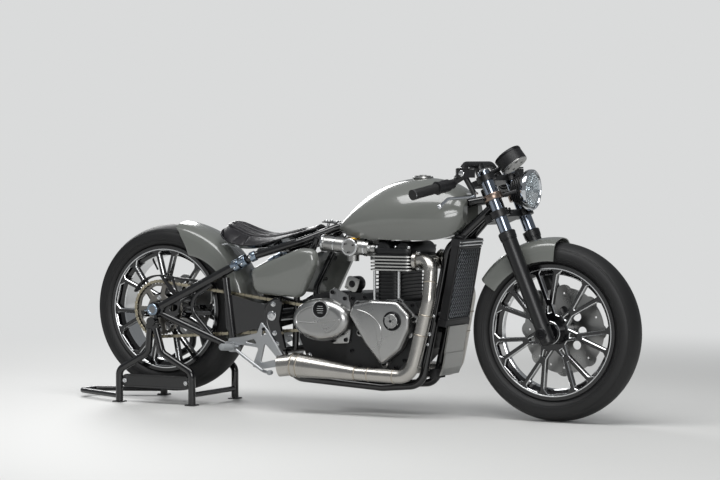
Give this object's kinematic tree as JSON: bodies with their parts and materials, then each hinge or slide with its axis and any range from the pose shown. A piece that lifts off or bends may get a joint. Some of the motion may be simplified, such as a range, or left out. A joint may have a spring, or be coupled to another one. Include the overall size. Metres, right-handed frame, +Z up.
{
  "type": "bobber motorcycle on a paddock stand",
  "caption": "Low bobber motorcycle with a parallel-twin engine, solo seat, short fenders and turned-out exhausts, its rear wheel lifted on a paddock stand",
  "frame": {"origin": "centre of the underside of the whole machine with its stand, on the floor", "axes": "+X forward, +Y to the rider's left, +Z up"},
  "size_m": [2.347, 0.7952, 0.9839],
  "materials": {
    "frame_paint": "gloss black enamel on steel tube",
    "body_paint": "warm mid grey two-coat paint with clear lacquer",
    "engine_black": "satin black engine enamel on cast aluminium",
    "brushed_cover": "brushed cast aluminium",
    "cast_alloy": "machined and cast aluminium",
    "stainless": "brushed stainless steel",
    "radiator_black": "satin black aluminium core",
    "leather_black": "black leather with sewn channels",
    "pan_chrome": "polished steel pan",
    "chain_steel": "steel chain and sprocket",
    "axle_steel": "turned steel",
    "tyre_rubber": "smooth-sided black tyre",
    "rim_black": "gloss black cast alloy with bright machined edges",
    "disc_steel": "ground stainless steel",
    "fork_black": "matte black anodised legs",
    "stanchion_chrome": "hard chrome on steel",
    "grip_rubber": "moulded black rubber",
    "housing_black": "matte black housings",
    "lamp_glass": "clear lens"
  },
  "bodies": {
    "chassis": {"main_frame": "frame_paint", "swingarm": "frame_paint", "rear_axle": "axle_steel", "paddock_stand": "frame_paint", "engine_cases": "engine_black", "cylinder_block": "engine_black", "cylinder_head": "engine_black", "cam_cover": "engine_black", "clutch_cover": "brushed_cover", "sprocket_cover": "brushed_cover", "alternator_cover": "brushed_cover", "throttle_bodies": "cast_alloy", "radiator": "radiator_black", "radiator_grille": "radiator_black", "chin_plate": "cast_alloy", "regulator": "radiator_black", "exhaust_right": "stainless", "exhaust_left": "stainless", "fuel_tank": "body_paint", "filler_cap": "cast_alloy", "seat": "leather_black", "seat_pan": "pan_chrome", "rear_fender": "body_paint", "side_pods": "body_paint", "rearset_right": "cast_alloy", "rearset_left": "cast_alloy", "drive_chain": "chain_steel", "chain_guard": "radiator_black", "rear_caliper": "cast_alloy"},
    "rear_wheel": {"rear_tyre": "tyre_rubber", "rear_rim": "rim_black", "rear_sprocket": "chain_steel", "rear_disc": "disc_steel"},
    "steering": {"fork_legs": "fork_black", "fork_tubes": "stanchion_chrome", "triple_clamps": "fork_black", "handlebar": "fork_black", "grips": "grip_rubber", "control_housings": "housing_black", "hand_levers": "cast_alloy", "headlight_shell": "housing_black", "headlight_lens": "lamp_glass", "speedometer": "housing_black", "front_fender": "body_paint", "front_axle": "axle_steel", "front_caliper": "cast_alloy"},
    "front_wheel": {"front_tyre": "tyre_rubber", "front_rim": "rim_black", "front_disc": "disc_steel"},
    "side_stand": {"side_stand": "fork_black"}
  },
  "joints": [
    {"name": "rear_wheel_spin", "type": "hinge", "parent": "chassis", "child": "rear_wheel", "pos_m": [-0.7545, 0, 0.36], "axis": [0, 1, 0], "continuous": true},
    {"name": "steering_turn", "type": "hinge", "parent": "chassis", "child": "steering", "pos_m": [0.6059, 0, 0.77999], "axis": [-0.3875, 0, 0.9219], "range_deg": [-30, 30]},
    {"name": "front_wheel_spin", "type": "hinge", "parent": "steering", "child": "front_wheel", "pos_m": [0.8535, 0, 0.32], "axis": [0, 1, 0], "continuous": true},
    {"name": "side_stand_fold", "type": "hinge", "parent": "chassis", "child": "side_stand", "pos_m": [0.168, 0.136, 0.126], "axis": [0, -0.9659, -0.2588], "range_deg": [0, 105]}
  ]
}
